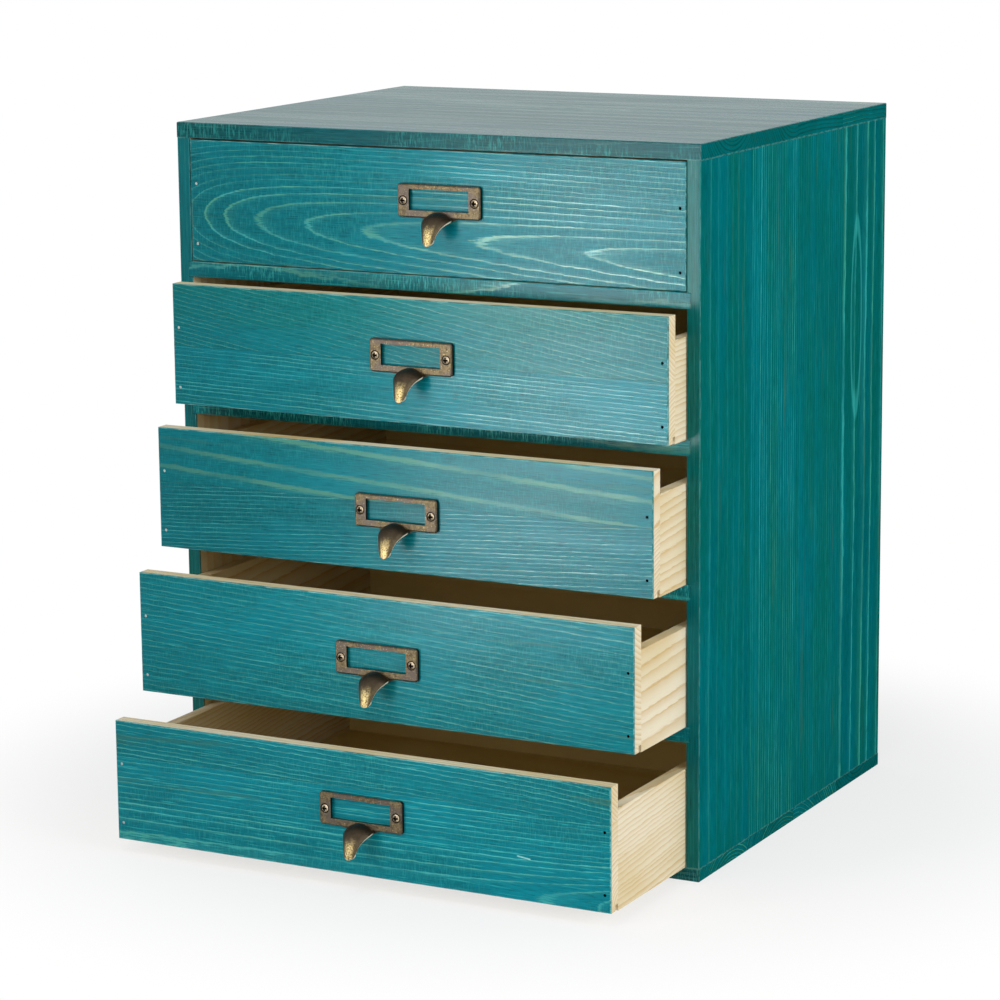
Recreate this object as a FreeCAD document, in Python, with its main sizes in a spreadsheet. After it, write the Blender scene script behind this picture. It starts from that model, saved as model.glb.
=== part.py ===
import FreeCAD, Part
import math
import os
import re

import Sketcher
from FreeCAD import Placement, Rotation, Vector

# Five-drawer wooden cabinet for craft stamps: a carcass of glued boards, and drawers that slide on
# plain wooden shelves, each with a cast label holder whose hooked tongue is the finger pull.
# Millimetres, +Z up. The origin is the middle of the carcass's underside and the front faces -Y.

# ---------------------------------------------------------------------------------------------
# Driving dimensions
# ---------------------------------------------------------------------------------------------
SIZES = {
    # carcass
    "carcass_width": 300.0,
    "carcass_depth": 242.0,
    "top_thickness": 8.0,
    "bottom_thickness": 7.0,
    "side_thickness": 7.4,
    "divider_thickness": 8.2,
    "bay_height": 64.8,
    "drawer_count": 5,
    "housing_depth": 2.2,
    "back_thickness": 4.0,
    "back_recess": 1.5,
    "back_rabbet_width": 4.0,
    "joint_clearance": 0.1,
    "board_edge_radius": 0.6,
    # drawer boxes
    "drawer_side_gap": 0.4,
    "drawer_top_gap": 0.9,
    "drawer_stop_gap": 0.5,
    "front_lift": 0.5,
    "front_thickness": 8.0,
    "wall_thickness": 6.5,
    "rear_thickness": 8.0,
    "wall_drop": 12.6,
    "panel_thickness": 2.8,
    "panel_clearance": 0.2,
    "panel_rabbet_height": 3.8,
    "panel_rabbet_depth": 3.0,
    "drawer_edge_radius": 0.5,
    # wire nails through the drawer fronts
    "nail_diameter": 1.5,
    "nail_length": 20.0,
    "nail_set": 0.2,
    "nail_low_inset": 9.0,
    "nail_high_inset": 10.3,
    "hole_clearance": 0.1,
    # label holder
    "label_width": 47.4,
    "label_height": 16.9,
    "label_thickness": 2.4,
    "label_corner_radius": 1.6,
    "label_bevel": 0.7,
    "label_end_width": 6.6,
    "window_sill": 3.6,
    "window_head": 2.5,
    "card_slot_margin": 4.7,
    "card_slot_depth": 0.9,
    "card_slot_lip": 1.2,
    # hooked finger pull
    "hook_root_width": 15.2,
    "hook_tip_width": 6.6,
    "hook_root_arch": 4.0,
    "hook_tip_arch": 1.4,
    "hook_root_wall": 2.4,
    "hook_tip_wall": 1.5,
    "hook_reach": 14.1,
    "hook_drop": 15.8,
    "hook_rim": 1.0,
    "hook_root_margin": 0.3,
    "apron_drop": 1.2,
    "apron_flare": 4.0,
    # countersunk cross-recess screws
    "screw_length": 9.0,
    "screw_shank_diameter": 1.8,
    "screw_head_diameter": 3.8,
    "screw_dome_height": 0.9,
    "cross_width": 0.55,
    "cross_span": 2.3,
    "cross_depth": 0.7,
}

# How far each drawer stands open, and how far to the right of and above the middle of its front the
# label holder is screwed on by hand, from the top drawer down.
PULLED_OUT = (0.0, 20.4, 37.7, 59.1, 85.3)
LABEL_SHIFT = (6.4, 0.4, 0.2, -0.1, 4.6)
LABEL_RISE = (6.1, 2.6, -1.0, 0.1, 1.7)

# The tongue is lofted through sections at these angles round its quarter ellipse, in degrees.
HOOK_STATIONS = (0.0, 10.0, 24.0, 42.0, 60.0, 76.0, 90.0)
HOOK_TAPER = 2.9
HOOK_SWEEP = 0.75

doc = FreeCAD.newDocument("craft_stamp_drawers")
sheet = doc.addObject("Spreadsheet::Sheet", "Sizes")
sheet.Label = "driving dimensions"


def fill_sheet():
    """Put every driving dimension in a cell of its own, with its name as the cell's alias."""
    cells = dict(SIZES)
    for number in range(1, SIZES["drawer_count"] + 1):
        spot = (number - 1) % len(PULLED_OUT)
        cells[f"drawer_{number}_pulled_out"] = PULLED_OUT[spot]
        cells[f"drawer_{number}_label_shift"] = LABEL_SHIFT[spot]
        cells[f"drawer_{number}_label_rise"] = LABEL_RISE[spot]
    for row, (name, value) in enumerate(cells.items(), start=1):
        sheet.set(f"A{row}", name)
        sheet.set(f"B{row}", str(value))
        sheet.setAlias(f"B{row}", name)
    doc.recompute()


fill_sheet()


def size(name):
    """Value of one driving dimension, read back from the sheet."""
    return float(getattr(sheet, name))


def bind(formula):
    """Expression for a formula that is written in the names of the driving dimensions."""
    return re.sub(r"[a-z]+(?:_[a-z0-9]+)+", lambda name: "Sizes." + name.group(), formula)


# Derived sizes, as formulas of the driving dimensions.
BAY_PITCH = "(bay_height + divider_thickness)"
INNER_HEIGHT = f"(drawer_count * {BAY_PITCH} - divider_thickness)"
OPENING_WIDTH = "(carcass_width - 2 * side_thickness)"
BACK_FACE = "(carcass_depth - back_recess - back_thickness)"
DRAWER_WIDTH = f"({OPENING_WIDTH} - 2 * drawer_side_gap)"
DRAWER_LENGTH = f"({BACK_FACE} - drawer_stop_gap)"
FRONT_HEIGHT = "(bay_height - drawer_top_gap - front_lift)"
WALL_HEIGHT = "(bay_height - drawer_top_gap - wall_drop)"
WALL_LENGTH = f"({DRAWER_LENGTH} - front_thickness - rear_thickness)"
NAIL_LEVELS = {"low": "nail_low_inset", "high": f"({WALL_HEIGHT} - front_lift - nail_high_inset)"}
NAIL_HOLE = "(nail_diameter + hole_clearance)"
SCREW_HOLE = "(screw_shank_diameter + hole_clearance)"
WINDOW_BASE = "(window_sill - label_height / 2)"
WINDOW_WIDTH = "(label_width - 2 * label_end_width)"
SCREW_OFFSET = "(label_width - label_end_width) / 2"

# ---------------------------------------------------------------------------------------------
# Sketch and feature helpers
# ---------------------------------------------------------------------------------------------
# +1 where the sketch normal on that origin plane points along the positive axis, -1 where against.
NORMAL_SIGN = {"XY_Plane": 1, "XZ_Plane": -1, "YZ_Plane": 1}

pieces = []


def new_body(label, x, y, z):
    """A PartDesign body whose own corner or centre sits at the given formulas."""
    body = doc.addObject("PartDesign::Body", label)
    body.Label = label
    for axis, formula in zip("xyz", (x, y, z)):
        body.setExpression(f"Placement.Base.{axis}", bind(formula))
    pieces.append(body)
    return body


def new_sketch(body, name, plane, lift="0"):
    """An empty sketch on one of the body's origin planes, lifted along the positive axis."""
    sketch = body.newObject("Sketcher::SketchObject", f"{body.Name}_{name}")
    support = [item for item in body.Origin.OriginFeatures if item.Role == plane]
    sketch.AttachmentSupport = [(support[0], "")]
    sketch.MapMode = "FlatFace"
    if lift != "0":
        sign = "" if NORMAL_SIGN[plane] > 0 else "-1 * "
        sketch.setExpression("AttachmentOffset.Base.z", bind(f"{sign}({lift})"))
    return sketch


def fix_point(sketch, geometry, position, x, y, name):
    """Hold a point of the sketch at the formulas x and y from the sketch's origin.

    A sketch numbers its horizontal axis -1, whose point 1 is the origin, and its vertical axis -2.
    """
    for kind, axis, formula in (("DistanceX", -2, x), ("DistanceY", -1, y)):
        if formula == "0":
            sketch.addConstraint(Sketcher.Constraint("PointOnObject", geometry, position, axis))
            continue
        constraint = Sketcher.Constraint(kind, -1, 1, geometry, position, 1.0)
        index = sketch.addConstraint(constraint)
        label = f"{name}_{kind}"
        sketch.renameConstraint(index, label)
        sketch.setExpression(f"Constraints.{label}", bind(formula))


def add_rectangle(sketch, x, y, width, height, name="box"):
    """A rectangle from its low corner (x, y), all four formulas."""
    corners = [Vector(*corner, 0) for corner in ((1, 1), (2, 1), (2, 2), (1, 2))]
    first = sketch.GeometryCount
    for index in range(4):
        sketch.addGeometry(Part.LineSegment(corners[index], corners[(index + 1) % 4]), False)
    for index in range(4):
        follower = first + (index + 1) % 4
        sketch.addConstraint(Sketcher.Constraint("Coincident", first + index, 2, follower, 1))
        direction = "Horizontal" if index % 2 == 0 else "Vertical"
        sketch.addConstraint(Sketcher.Constraint(direction, first + index))
    fix_point(sketch, first, 1, x, y, f"{name}_corner")
    for kind, line, formula in (("DistanceX", first, width), ("DistanceY", first + 1, height)):
        index = sketch.addConstraint(Sketcher.Constraint(kind, line, 1, line, 2, 1.0))
        sketch.renameConstraint(index, f"{name}_{kind}")
        sketch.setExpression(f"Constraints.{name}_{kind}", bind(formula))


def add_circle(sketch, x, y, diameter, name):
    """A circle about (x, y), all formulas."""
    circle = sketch.addGeometry(Part.Circle(Vector(2, 2, 0), Vector(0, 0, 1), 1.0), False)
    fix_point(sketch, circle, 3, x, y, name)
    index = sketch.addConstraint(Sketcher.Constraint("Diameter", circle, 2.0))
    sketch.renameConstraint(index, f"{name}_diameter")
    sketch.setExpression(f"Constraints.{name}_diameter", bind(diameter))


def pad(body, sketch, plane, length, towards=1):
    """Pad a sketch along the positive axis of its plane, or against it."""
    feature = body.newObject("PartDesign::Pad", sketch.Name + "_pad")
    feature.Profile = sketch
    feature.Reversed = NORMAL_SIGN[plane] * towards < 0
    feature.setExpression("Length", bind(length))
    sketch.Visibility = False
    doc.recompute()
    return feature


def pocket(body, sketch, plane, length=None, towards=1):
    """Cut a sketch along the positive axis of its plane, or against it: through all by default."""
    doc.recompute()
    volume_before = body.Shape.Volume
    feature = body.newObject("PartDesign::Pocket", sketch.Name + "_pocket")
    feature.Profile = sketch
    feature.Reversed = NORMAL_SIGN[plane] * towards > 0
    if length is None:
        feature.Type = "ThroughAll"
    else:
        feature.setExpression("Length", bind(length))
    sketch.Visibility = False
    doc.recompute()
    if not body.Shape.Volume < volume_before:
        raise RuntimeError(f"{feature.Name} cuts nothing")
    return feature


def round_edges(body, name, radius, wanted):
    """Fillet every edge of the body for which wanted(edge) holds."""
    doc.recompute()
    base = body.Tip
    names = [f"Edge{index}" for index, edge in enumerate(base.Shape.Edges, start=1) if wanted(edge)]
    feature = body.newObject("PartDesign::Fillet", f"{body.Name}_{name}")
    feature.Base = (base, names)
    feature.setExpression("Radius", bind(radius))
    doc.recompute()
    return feature


def chamfer_edges(body, name, setback, wanted):
    """Chamfer every edge of the body for which wanted(edge) holds."""
    doc.recompute()
    base = body.Tip
    names = [f"Edge{index}" for index, edge in enumerate(base.Shape.Edges, start=1) if wanted(edge)]
    feature = body.newObject("PartDesign::Chamfer", f"{body.Name}_{name}")
    feature.Base = (base, names)
    feature.setExpression("Size", bind(setback))
    doc.recompute()
    return feature


def span(edge, axis):
    """Low and high end of an edge along one axis."""
    box = edge.BoundBox
    return getattr(box, f"{axis}Min"), getattr(box, f"{axis}Max")


def lies_at(edge, axis, value):
    """True if the whole edge lies at one value along an axis."""
    low, high = span(edge, axis)
    return abs(low - value) < 1e-4 and abs(high - value) < 1e-4


def board(label, width, depth, height, x, y, z):
    """A plain board with its low corner at (x, y, z)."""
    body = new_body(label, x, y, z)
    sketch = new_sketch(body, "plan", "XY_Plane")
    add_rectangle(sketch, "0", "0", width, depth)
    pad(body, sketch, "XY_Plane", height)
    return body


# ---------------------------------------------------------------------------------------------
# Carcass
# ---------------------------------------------------------------------------------------------
LEFT = "-carcass_width / 2"
FRONT = "-carcass_depth / 2"


def make_cap_board(label, thickness, z, outer_height):
    """Top or bottom board: it runs the full width and caps the side panels' end grain."""
    body = board(label, "carcass_width", "carcass_depth", thickness, LEFT, FRONT, z)
    round_edges(body, "eased", "board_edge_radius", lambda edge: lies_at(edge, "Z", outer_height))


def make_side_panel(label, x, inner_side):
    """Side panel with a through dado for each divider and a rabbet for the back panel."""
    body = board(label, "side_thickness", "carcass_depth", INNER_HEIGHT, x, FRONT, "bottom_thickness")
    thickness = size("side_thickness")
    depth = size("carcass_depth")
    inner_x = thickness if inner_side == "right" else 0.0

    def eased(edge):
        at_front = lies_at(edge, "Y", 0.0)
        outer_back = lies_at(edge, "Y", depth) and lies_at(edge, "X", thickness - inner_x)
        upright = span(edge, "Z")[1] - span(edge, "Z")[0] > thickness
        return upright and (at_front or outer_back)

    round_edges(body, "eased", "board_edge_radius", eased)

    rabbet = new_sketch(body, "back_rabbet", "XY_Plane")
    rabbet_x = "side_thickness - back_rabbet_width" if inner_side == "right" else "0"
    add_rectangle(rabbet, rabbet_x, BACK_FACE, "back_rabbet_width", "back_thickness + back_recess")
    pocket(body, rabbet, "XY_Plane")

    dado = new_sketch(body, "dados", "XZ_Plane")
    dado_x = "side_thickness - housing_depth" if inner_side == "right" else "0"
    for number in range(1, int(size("drawer_count"))):
        low = f"{number} * {BAY_PITCH} - divider_thickness"
        height = "divider_thickness + joint_clearance"
        add_rectangle(dado, dado_x, low, "housing_depth", height, f"dado_{number}")
    pocket(body, dado, "XZ_Plane")


def make_divider(number):
    """Divider shelf under drawer number, housed in both side panels."""
    shelves_below = int(size("drawer_count")) - number
    z = f"bottom_thickness + {shelves_below} * {BAY_PITCH} - divider_thickness"
    reach = "(housing_depth - joint_clearance)"
    width = f"{OPENING_WIDTH} + 2 * {reach}"
    x = f"{LEFT} + side_thickness - {reach}"
    body = board(f"divider_{number}", width, BACK_FACE, "divider_thickness", x, FRONT, z)
    round_edges(body, "eased", "board_edge_radius", lambda edge: is_long_front_edge(edge))


def is_long_front_edge(edge):
    """True for an edge that runs across the front of a board."""
    low, high = span(edge, "X")
    return lies_at(edge, "Y", 0.0) and high - low > size("carcass_width") / 2


def make_back_panel():
    """Thin back panel, let into the side panels' rabbets."""
    fit = "(back_rabbet_width - joint_clearance)"
    width = f"{OPENING_WIDTH} + 2 * {fit}"
    x = f"{LEFT} + side_thickness - {fit}"
    y = f"{FRONT} + {BACK_FACE}"
    board("back_panel", width, "back_thickness", INNER_HEIGHT, x, y, "bottom_thickness")


# ---------------------------------------------------------------------------------------------
# Drawer boxes
# ---------------------------------------------------------------------------------------------
DRAWER_LEFT = f"-{DRAWER_WIDTH} / 2"


def drawer_floor(number):
    """Height of the surface that drawer number slides on."""
    bays_below = int(size("drawer_count")) - number
    return f"bottom_thickness + {bays_below} * {BAY_PITCH}"


def drawer_face(number):
    """Where the front face of drawer number stands along Y."""
    return f"{FRONT} - drawer_{number}_pulled_out"


def make_drawer_front(number):
    """Front board: it covers the side boards' ends and takes the nails and the label screws."""
    z = f"{drawer_floor(number)} + front_lift"
    body = board(f"drawer_{number}_front", DRAWER_WIDTH, "front_thickness", FRONT_HEIGHT,
                 DRAWER_LEFT, drawer_face(number), z)
    round_edges(body, "eased", "drawer_edge_radius", lambda edge: lies_at(edge, "Y", 0.0))

    rabbet = new_sketch(body, "rabbet", "YZ_Plane")
    add_rectangle(rabbet, "front_thickness - panel_rabbet_depth", "0",
                  "panel_rabbet_depth", "panel_rabbet_height - front_lift")
    pocket(body, rabbet, "YZ_Plane")

    nail_holes = new_sketch(body, "nail_holes", "XZ_Plane")
    for side, x in (("left", "wall_thickness / 2"), ("right", f"{DRAWER_WIDTH} - wall_thickness / 2")):
        for level, height in NAIL_LEVELS.items():
            add_circle(nail_holes, x, height, NAIL_HOLE, f"{side}_{level}")
    pocket(body, nail_holes, "XZ_Plane")

    screw_holes = new_sketch(body, "screw_holes", "XZ_Plane")
    for side, sign in (("left", "-"), ("right", "+")):
        x = f"{DRAWER_WIDTH} / 2 + drawer_{number}_label_shift {sign} {SCREW_OFFSET}"
        add_circle(screw_holes, x, f"{FRONT_HEIGHT} / 2 + drawer_{number}_label_rise", SCREW_HOLE, side)
    depth = "screw_length - label_thickness + hole_clearance"
    pocket(body, screw_holes, "XZ_Plane", depth)


def make_drawer_wall(number, side):
    """Side board, lower than the front, with the bottom panel's rabbet along its inner edge."""
    x = DRAWER_LEFT if side == "left" else f"{DRAWER_WIDTH} / 2 - wall_thickness"
    y = f"{drawer_face(number)} + front_thickness"
    body = board(f"drawer_{number}_{side}_side", "wall_thickness", WALL_LENGTH, WALL_HEIGHT,
                 x, y, drawer_floor(number))
    top = body.Shape.BoundBox.ZLength

    def upper_long(edge):
        low, high = span(edge, "Y")
        return lies_at(edge, "Z", top) and high - low > top

    round_edges(body, "eased", "drawer_edge_radius", upper_long)

    rabbet = new_sketch(body, "rabbet", "XZ_Plane")
    rabbet_x = "wall_thickness - panel_rabbet_depth" if side == "left" else "0"
    add_rectangle(rabbet, rabbet_x, "0", "panel_rabbet_depth", "panel_rabbet_height")
    pocket(body, rabbet, "XZ_Plane")

    nail_holes = new_sketch(body, "nail_holes", "XZ_Plane")
    for level, height in NAIL_LEVELS.items():
        add_circle(nail_holes, "wall_thickness / 2", f"{height} + front_lift", NAIL_HOLE, level)
    depth = "nail_length + nail_set - front_thickness + hole_clearance"
    pocket(body, nail_holes, "XZ_Plane", depth)


def make_drawer_rear(number):
    """Back board of the drawer, covering the side boards' rear ends."""
    y = f"{drawer_face(number)} + front_thickness + {WALL_LENGTH}"
    body = board(f"drawer_{number}_back", DRAWER_WIDTH, "rear_thickness", WALL_HEIGHT,
                 DRAWER_LEFT, y, drawer_floor(number))
    top = body.Shape.BoundBox.ZLength
    round_edges(body, "eased", "drawer_edge_radius", lambda edge: lies_at(edge, "Z", top))

    rabbet = new_sketch(body, "rabbet", "YZ_Plane")
    add_rectangle(rabbet, "0", "0", "panel_rabbet_depth", "panel_rabbet_height")
    pocket(body, rabbet, "YZ_Plane")


def make_drawer_bottom(number):
    """Thin bottom panel, let up into the rabbets of all four boards."""
    reach = "(panel_rabbet_depth - panel_clearance)"
    board(f"drawer_{number}_bottom",
          f"{DRAWER_WIDTH} - 2 * wall_thickness + 2 * {reach}",
          f"{WALL_LENGTH} + 2 * {reach}",
          "panel_thickness",
          f"{DRAWER_LEFT} + wall_thickness - {reach}",
          f"{drawer_face(number)} + front_thickness - {reach}",
          f"{drawer_floor(number)} + panel_rabbet_height - panel_clearance - panel_thickness")


def make_drawer_nails(number):
    """Four wire nails driven through the front board into the side boards' end grain."""
    nails = []
    for side, x in (("left", f"{DRAWER_LEFT} + wall_thickness / 2"),
                    ("right", f"{DRAWER_WIDTH} / 2 - wall_thickness / 2")):
        for level, height in NAIL_LEVELS.items():
            nail = doc.addObject("Part::Cylinder", f"drawer_{number}_nail_{side}_{level}")
            nail.setExpression("Radius", bind("nail_diameter / 2"))
            nail.setExpression("Height", bind("nail_length"))
            nail.Placement = Placement(Vector(), Rotation(Vector(1, 0, 0), -90))
            nail.setExpression("Placement.Base.x", bind(x))
            nail.setExpression("Placement.Base.z", bind(f"front_lift + {height}"))
            nails.append(nail)
    group = doc.addObject("Part::Compound", f"drawer_{number}_nails")
    group.Label = f"drawer_{number}_nails"
    group.Links = nails
    group.setExpression("Placement.Base.y", bind(f"{drawer_face(number)} + nail_set"))
    group.setExpression("Placement.Base.z", bind(drawer_floor(number)))
    pieces.append(group)


# ---------------------------------------------------------------------------------------------
# Label holder with its hooked finger pull
# ---------------------------------------------------------------------------------------------
def label_centre(number):
    """Placement formulas of the label holder: the middle of its frame, on the drawer's face."""
    return (f"drawer_{number}_label_shift",
            drawer_face(number),
            f"{drawer_floor(number)} + front_lift + {FRONT_HEIGHT} / 2 + drawer_{number}_label_rise")


def blend(root, tip, share):
    """Value between root and tip, share 0 at the root."""
    return root + (tip - root) * share


def hook_section(station):
    """Half width, arch and wall of the tongue at a station, in degrees round its quarter ellipse."""
    share = math.sin(math.radians(station)) ** HOOK_TAPER
    half_width = blend(size("hook_root_width"), size("hook_tip_width"), share) / 2
    arch = blend(size("hook_root_arch"), size("hook_tip_arch"), share)
    wall = blend(size("hook_root_wall"), size("hook_tip_wall"), share)
    return half_width, arch, wall


def hook_outline(half_width, arch, wall, rim):
    """Arched strip: the crown of its upper arc at (0, 0), the lower arc one wall under it."""
    left = Vector(-half_width, -arch, 0)
    right = Vector(half_width, -arch, 0)
    inner_left = Vector(-half_width + rim / 2, -arch - rim, 0)
    inner_right = Vector(half_width - rim / 2, -arch - rim, 0)
    return [
        Part.Arc(left, Vector(0, 0, 0), right),
        Part.LineSegment(right, inner_right),
        Part.Arc(inner_right, Vector(0, -wall, 0), inner_left),
        Part.LineSegment(inner_left, left),
    ]


def add_hook(body):
    """Tongue lofted through sections that turn from facing up at the root to facing out at the tip."""
    reach = size("hook_reach")
    drop = size("hook_drop")
    root_inset = size("label_thickness") / 2
    root_height = size("window_sill") - size("label_height") / 2 - size("hook_root_margin")
    sections = []
    for index, station in enumerate(HOOK_STATIONS):
        turn = math.radians(station)
        sketch = new_sketch(body, f"hook_{index}", "XZ_Plane")
        height = root_height - drop * (1.0 - math.cos(turn))
        outward = root_inset + reach * math.sin(turn) ** HOOK_SWEEP
        fall = drop * math.sin(turn) ** (2.0 - HOOK_SWEEP)
        tilt = math.degrees(math.atan2(fall, HOOK_SWEEP * reach * math.cos(turn)))
        sketch.AttachmentOffset = Placement(Vector(0, height, outward), Rotation(Vector(1, 0, 0), tilt))
        sketch.addGeometry(hook_outline(*hook_section(station), size("hook_rim")), False)
        sketch.Visibility = False
        sections.append(sketch)
    doc.recompute()
    tongue = body.newObject("PartDesign::AdditiveLoft", f"{body.Name}_tongue")
    tongue.Profile = sections[0]
    tongue.Sections = sections[1:]
    doc.recompute()
    trim_hook_tip(body, root_height - drop)


def trim_hook_tip(body, tip_height):
    """Cut the tongue's end to a half round, seen from the front."""
    half_width = size("hook_tip_width") / 2
    shoulder = tip_height + half_width
    outside = half_width + size("hook_rim")
    below = tip_height - size("hook_rim")
    sketch = new_sketch(body, "tip_trim", "XZ_Plane")
    points = [Vector(half_width, shoulder, 0), Vector(outside, shoulder, 0),
              Vector(outside, below, 0), Vector(-outside, below, 0),
              Vector(-outside, shoulder, 0), Vector(-half_width, shoulder, 0)]
    for start, end in zip(points, points[1:]):
        sketch.addGeometry(Part.LineSegment(start, end), False)
    sketch.addGeometry(Part.Arc(points[-1], Vector(0, tip_height, 0), points[0]), False)
    pocket(body, sketch, "XZ_Plane", towards=-1)


def make_label_pull(number):
    """Cast frame with a window, a card slot behind it, countersunk holes and the hooked tongue."""
    body = new_body(f"drawer_{number}_label_pull", *label_centre(number))
    plate = new_sketch(body, "plate", "XZ_Plane")
    add_rectangle(plate, "-label_width / 2", "-label_height / 2", "label_width", "label_height")
    pad(body, plate, "XZ_Plane", "label_thickness", towards=-1)
    thickness = size("label_thickness")

    def is_corner(edge):
        low, high = span(edge, "Y")
        return high - low > thickness / 2

    round_edges(body, "corners", "label_corner_radius", is_corner)
    chamfer_edges(body, "bevel", "label_bevel", lambda edge: lies_at(edge, "Y", -thickness))

    window = new_sketch(body, "window", "XZ_Plane")
    add_rectangle(window, f"-{WINDOW_WIDTH} / 2", WINDOW_BASE, WINDOW_WIDTH,
                  "label_height - window_sill - window_head")
    pocket(body, window, "XZ_Plane", towards=-1)

    slot = new_sketch(body, "card_slot", "XZ_Plane")
    slot_base = f"{WINDOW_BASE} - card_slot_lip"
    add_rectangle(slot, "card_slot_margin - label_width / 2", slot_base,
                  "label_width - 2 * card_slot_margin", "label_height")
    pocket(body, slot, "XZ_Plane", "card_slot_depth", towards=-1)

    add_apron(body)
    add_hook(body)
    add_screw_holes(body)


def add_apron(body):
    """Low swelling of the frame's lower edge that carries the tongue's root."""
    edge = -size("label_height") / 2
    low = edge - size("apron_drop")
    inner = size("hook_root_width") / 2
    outer = inner + size("apron_flare")
    bend_x = (inner + outer) / 2
    bend_y = (2 * edge + low) / 3
    sketch = new_sketch(body, "apron", "XZ_Plane")
    points = [Vector(-outer, edge, 0), Vector(-inner, low, 0), Vector(inner, low, 0), Vector(outer, edge, 0)]
    sketch.addGeometry(Part.Arc(points[0], Vector(-bend_x, bend_y, 0), points[1]), False)
    sketch.addGeometry(Part.LineSegment(points[1], points[2]), False)
    sketch.addGeometry(Part.Arc(points[2], Vector(bend_x, bend_y, 0), points[3]), False)
    sketch.addGeometry(Part.LineSegment(points[3], points[0]), False)
    pad(body, sketch, "XZ_Plane", "label_thickness - label_bevel", towards=-1)


def add_screw_holes(body):
    """Two countersunk through holes, drilled from the frame's face."""
    centres = new_sketch(body, "screw_holes", "XZ_Plane", lift="-label_thickness")
    for side, sign in (("left", "-"), ("right", "")):
        add_circle(centres, f"{sign}{SCREW_OFFSET}", "0", SCREW_HOLE, side)
    doc.recompute()
    volume_before = body.Shape.Volume
    holes = body.newObject("PartDesign::Hole", f"{body.Name}_countersinks")
    holes.Profile = centres
    holes.DepthType = "ThroughAll"
    holes.setExpression("Diameter", bind(SCREW_HOLE))
    holes.HoleCutType = "Countersink"
    holes.setExpression("HoleCutDiameter", bind("screw_head_diameter + hole_clearance"))
    holes.HoleCutCountersinkAngle = 90
    holes.DrillPoint = "Flat"
    centres.Visibility = False
    doc.recompute()
    if not body.Shape.Volume < volume_before:
        raise RuntimeError(f"{holes.Name} cuts nothing")


def make_screw(number, side, sign):
    """Countersunk screw with a low raised head and a cross recess."""
    x, y, z = label_centre(number)
    label = f"drawer_{number}_pull_screw_{side}"
    body = new_body(label, f"{x} {sign} {SCREW_OFFSET}", y, z)
    head = size("screw_head_diameter") / 2
    shank = size("screw_shank_diameter") / 2
    face = -size("label_thickness")
    crown = face - size("screw_dome_height")
    tip = size("screw_length") + face
    profile = new_sketch(body, "profile", "XY_Plane")
    points = [Vector(0, crown, 0), Vector(head - size("screw_dome_height"), crown, 0), Vector(head, face, 0),
              Vector(shank, face + head - shank, 0), Vector(shank, tip, 0), Vector(0, tip, 0)]
    for start, end in zip(points, points[1:] + points[:1]):
        profile.addGeometry(Part.LineSegment(start, end), False)
    turned = body.newObject("PartDesign::Revolution", f"{body.Name}_turned")
    turned.Profile = profile
    turned.ReferenceAxis = (profile, ["V_Axis"])
    turned.Angle = 360
    profile.Visibility = False

    cross = new_sketch(body, "cross", "XZ_Plane", lift="-label_thickness - screw_dome_height")
    arm = size("cross_width") / 2
    reach = size("cross_span") / 2
    outline = [(-arm, reach), (arm, reach), (arm, arm), (reach, arm), (reach, -arm), (arm, -arm),
               (arm, -reach), (-arm, -reach), (-arm, -arm), (-reach, -arm), (-reach, arm), (-arm, arm)]
    corners = [Vector(a, b, 0) for a, b in outline]
    for start, end in zip(corners, corners[1:] + corners[:1]):
        cross.addGeometry(Part.LineSegment(start, end), False)
    pocket(body, cross, "XZ_Plane", "cross_depth", towards=1)


# ---------------------------------------------------------------------------------------------
# Assembly, checks and export
# ---------------------------------------------------------------------------------------------
def build():
    make_cap_board("bottom_board", "bottom_thickness", "0", 0.0)
    make_cap_board("top_board", "top_thickness", f"bottom_thickness + {INNER_HEIGHT}", size("top_thickness"))
    make_side_panel("left_side_panel", LEFT, "right")
    make_side_panel("right_side_panel", "carcass_width / 2 - side_thickness", "left")
    make_back_panel()
    count = int(size("drawer_count"))
    for number in range(1, count):
        make_divider(number)
    for number in range(1, count + 1):
        make_drawer_front(number)
        make_drawer_wall(number, "left")
        make_drawer_wall(number, "right")
        make_drawer_rear(number)
        make_drawer_bottom(number)
        make_drawer_nails(number)
        make_label_pull(number)
        make_screw(number, "left", "-")
        make_screw(number, "right", "+")
    doc.recompute()


def check():
    """Stop if anything failed to build or is not a valid solid."""
    for item in doc.Objects:
        if "Invalid" in item.State or "Error" in item.State:
            raise RuntimeError(f"{item.Name} failed: {item.State}")
    for piece in pieces:
        if piece.Shape.isNull() or not piece.Shape.isValid() or not piece.Shape.Solids:
            raise RuntimeError(f"{piece.Label} has no valid solid")


def export():
    os.makedirs("parts", exist_ok=True)
    for piece in pieces:
        piece.Shape.exportStep(f"parts/{piece.Label}.step")
        print(f"{piece.Label}: {len(piece.Shape.Solids)} solid(s), {piece.Shape.Volume:.1f} mm3")


build()
check()
export()
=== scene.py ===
import math
from dataclasses import dataclass, field, replace

import bpy
from mathutils import Matrix, Vector


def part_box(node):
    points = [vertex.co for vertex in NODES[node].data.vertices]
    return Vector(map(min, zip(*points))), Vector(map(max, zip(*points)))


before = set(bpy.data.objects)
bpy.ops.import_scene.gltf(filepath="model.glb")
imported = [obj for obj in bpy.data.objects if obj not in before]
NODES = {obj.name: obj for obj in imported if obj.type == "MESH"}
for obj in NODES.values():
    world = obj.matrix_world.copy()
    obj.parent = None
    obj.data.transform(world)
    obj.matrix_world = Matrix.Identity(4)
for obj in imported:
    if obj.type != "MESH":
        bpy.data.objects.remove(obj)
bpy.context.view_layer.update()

DRAWERS = (1, 2, 3, 4, 5)
# Millimetres in a metre. Textures are laid out in millimetres, pieces and lights in metres.
MM = 1000.0
AXES = "XYZ"


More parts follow.
